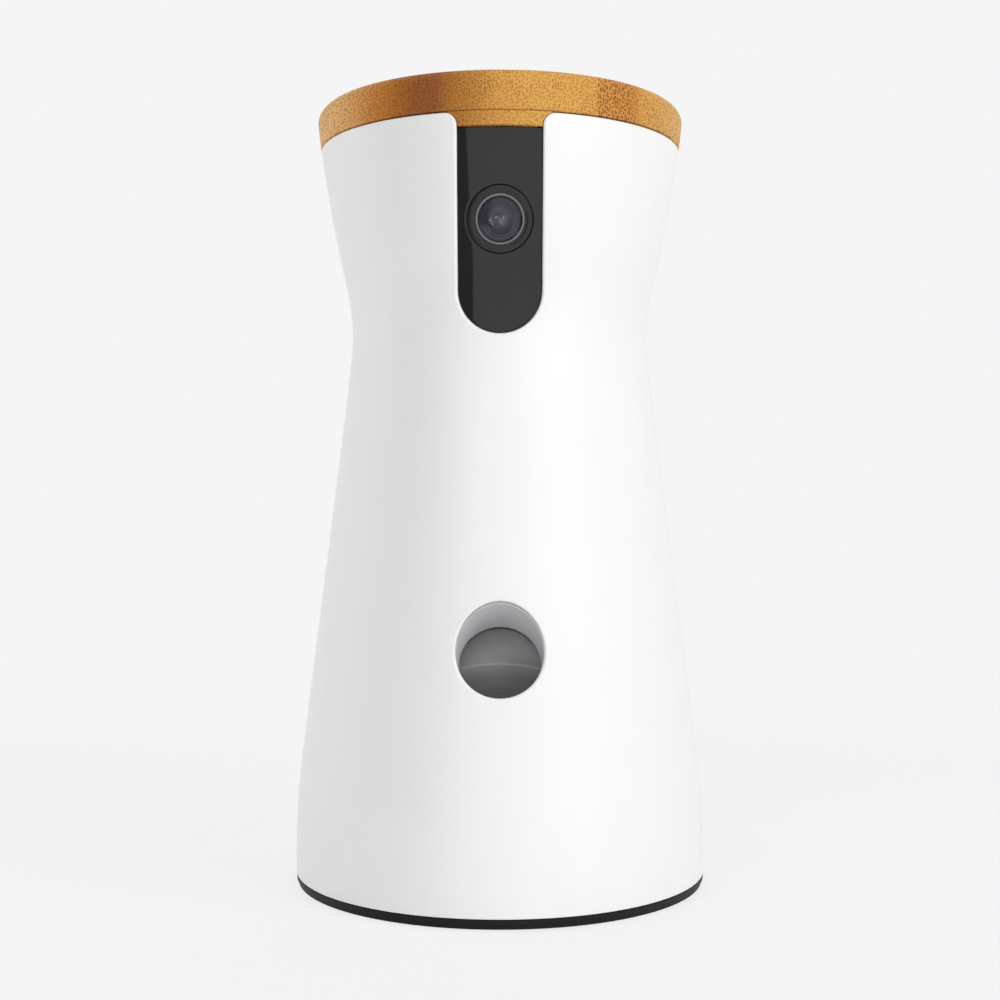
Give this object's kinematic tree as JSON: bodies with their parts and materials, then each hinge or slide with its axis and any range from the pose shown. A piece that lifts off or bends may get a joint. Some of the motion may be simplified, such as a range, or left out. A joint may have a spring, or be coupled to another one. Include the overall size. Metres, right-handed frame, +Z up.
{
  "type": "treat tossing pet camera",
  "caption": "Oval hourglass pet camera with a bamboo lift-off lid, a lens in a dark window, a treat hopper with a metering rotor, and a sprung paddle that tosses treats out of a tilted tube.",
  "frame": {"origin": "on the surface that the camera stands on, under the middle of its outer box", "axes": "+Z up, -Y out of the front where the lens and the treat tube are, +X to the right seen from the front"},
  "size_m": [0.1216, 0.1513, 0.2255],
  "materials": {
    "white_casing": "smooth white moulding, light gloss",
    "window_panel": "smoked glossy acrylic",
    "black_plastic": "fine matt black moulding",
    "trim_ring": "satin turned ring",
    "lens_glass": "coated lens glass",
    "circuit_board": "green solder mask",
    "led_resin": "tinted resin",
    "moulded_grey": "light grey food-safe moulding",
    "tube_grey": "smooth mid grey moulding",
    "paddle_grey": "smooth dark grey moulding",
    "steel_screws": "zinc plated",
    "steel_shafts": "ground steel",
    "gearbox_brass": "stamped brass plates",
    "motor_can": "plated can",
    "speaker_black": "black painted pressing",
    "speaker_paper": "coated paper cone",
    "gasket_foam": "closed-cell foam",
    "chip_black": "moulded packages and cans",
    "light_guide": "frosted clear acrylic",
    "ribbon_film": "flat flexible cable",
    "lead_insulation": "twin motor leads",
    "base_black": "matt black moulding",
    "foot_rubber": "soft non-slip ring",
    "bamboo": "carbonised bamboo, satin oil",
    "silicone_seal": "soft silicone",
    "rotor_orange": "soft-tipped moulding",
    "gear_nylon": "natural nylon",
    "button_grey": "moulded button"
  },
  "bodies": {
    "case": {"outer_casing": "white_casing", "camera_window": "window_panel", "lens_bezel": "black_plastic", "lens_trim_ring": "trim_ring", "lens_glass": "lens_glass", "lens_barrel": "black_plastic", "camera_board": "circuit_board", "camera_bracket": "black_plastic", "infrared_leds": "led_resin", "hopper": "moulded_grey", "hopper_screws": "steel_screws", "metering_housing": "moulded_grey", "housing_screws": "steel_screws", "rotor_gearbox": "gearbox_brass", "rotor_motor": "motor_can", "drop_chute": "moulded_grey", "launch_tube": "tube_grey", "launcher_frame": "moulded_grey", "frame_screws": "steel_screws", "paddle_axle": "steel_shafts", "axle_clips": "steel_shafts", "launcher_gearbox": "gearbox_brass", "launcher_motor": "motor_can", "speaker_basket": "speaker_black", "speaker_magnet": "speaker_black", "speaker_cone": "speaker_paper", "speaker_gasket": "gasket_foam", "microphone": "motor_can", "main_board": "circuit_board", "board_chips": "chip_black", "board_screws": "steel_screws", "power_inlet": "motor_can", "power_switch_body": "black_plastic", "reset_switch_body": "black_plastic", "wifi_antenna": "gearbox_brass", "status_led_board": "circuit_board", "light_guide": "light_guide", "camera_ribbon": "ribbon_film", "rotor_motor_lead": "lead_insulation", "launcher_motor_lead": "lead_insulation", "base_plate": "base_black", "base_screws": "steel_screws", "rubber_foot": "foot_rubber", "paddle_spring": "steel_shafts"},
    "lid": {"lid_board": "bamboo", "lid_inner_ply": "bamboo", "lid_plug": "moulded_grey", "lid_seal": "silicone_seal", "lid_screws": "steel_screws"},
    "rotor": {"metering_rotor": "rotor_orange", "rotor_shaft": "steel_shafts"},
    "sector": {"sector_gear": "gear_nylon", "sector_shaft": "steel_shafts"},
    "paddle": {"launch_paddle": "paddle_grey"},
    "power_slider": {"power_slider": "black_plastic"},
    "reset_button": {"reset_button": "button_grey"}
  },
  "joints": [
    {"name": "lid_lift", "type": "slide", "parent": "case", "child": "lid", "axis": [0, 0, 1], "range_m": [0, 0.04]},
    {"name": "rotor_spin", "type": "hinge", "parent": "case", "child": "rotor", "pos_m": [0, -0.00153, 0.118], "axis": [0, 0, 1], "continuous": true},
    {"name": "paddle_swing", "type": "hinge", "parent": "case", "child": "paddle", "pos_m": [0, -0.04657, 0.04417], "axis": [1, 0, 0], "range_deg": [-65, 0], "stiffness_Nm_per_rad": 0.02, "springref_deg": 20.05, "deforming": ["paddle_spring"]},
    {"name": "sector_turn", "type": "hinge", "parent": "case", "child": "sector", "pos_m": [0.01175, -0.02961, 0.03358], "axis": [1, 0, 0], "range_deg": [0, 53.3]},
    {"name": "power_slide", "type": "slide", "parent": "case", "child": "power_slider", "axis": [1, 0, 0], "range_m": [0, 0.004]},
    {"name": "reset_press", "type": "slide", "parent": "case", "child": "reset_button", "axis": [0, 0, 1], "range_m": [0, 0.0008], "stiffness_N_per_m": 150}
  ],
  "couplings": [
    {"joint": "sector_turn", "follows": "paddle_swing", "ratio": -0.81818}
  ]
}
